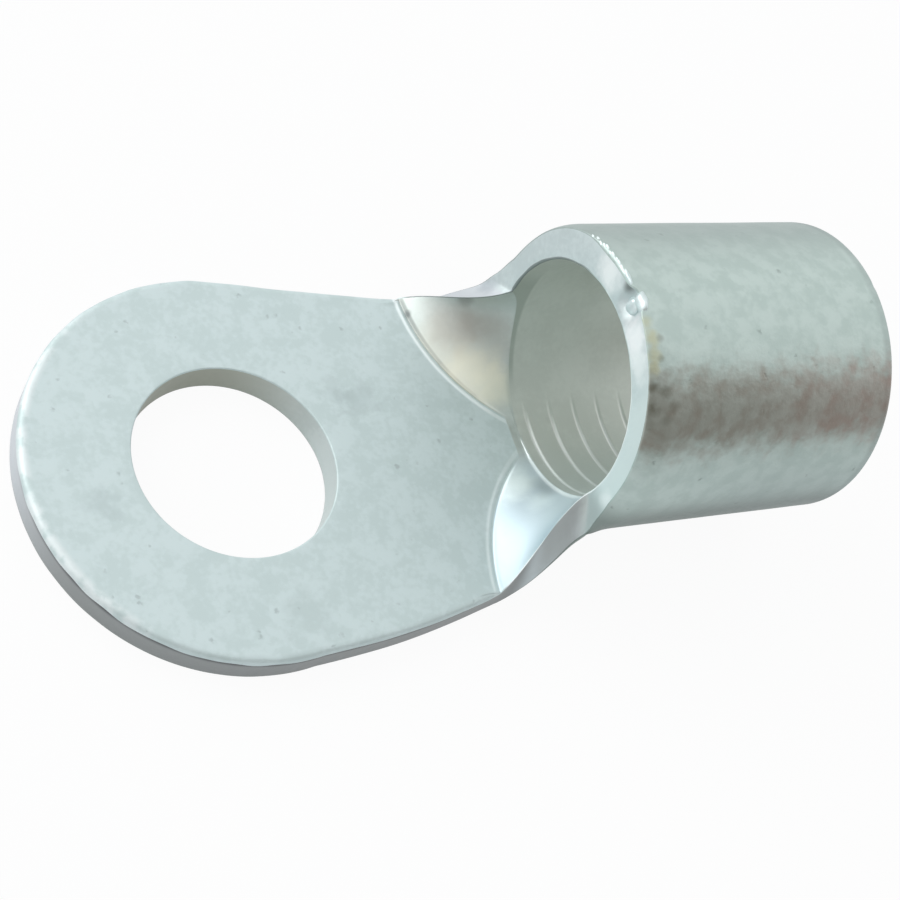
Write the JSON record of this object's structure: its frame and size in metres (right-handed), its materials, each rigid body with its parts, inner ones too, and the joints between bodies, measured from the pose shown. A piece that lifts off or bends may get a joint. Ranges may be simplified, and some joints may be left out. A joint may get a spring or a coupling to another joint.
{
  "type": "crimp cable lug",
  "caption": "Ring-tongue crimp lug: a flat tongue with a stud hole, rolled up into a short round barrel that is pressed onto a cable end.",
  "frame": {"origin": "centre of the stud hole at the underside of the tongue", "axes": "+X along the barrel towards its cable mouth, +Z out of the top face of the tongue, Y across it"},
  "size_m": [0.0418, 0.0212, 0.0159],
  "materials": {
    "tin_plate": "satin electro-tinned copper, faintly mottled"
  },
  "bodies": {
    "root": {"lug_body": "tin_plate"}
  },
  "joints": []
}
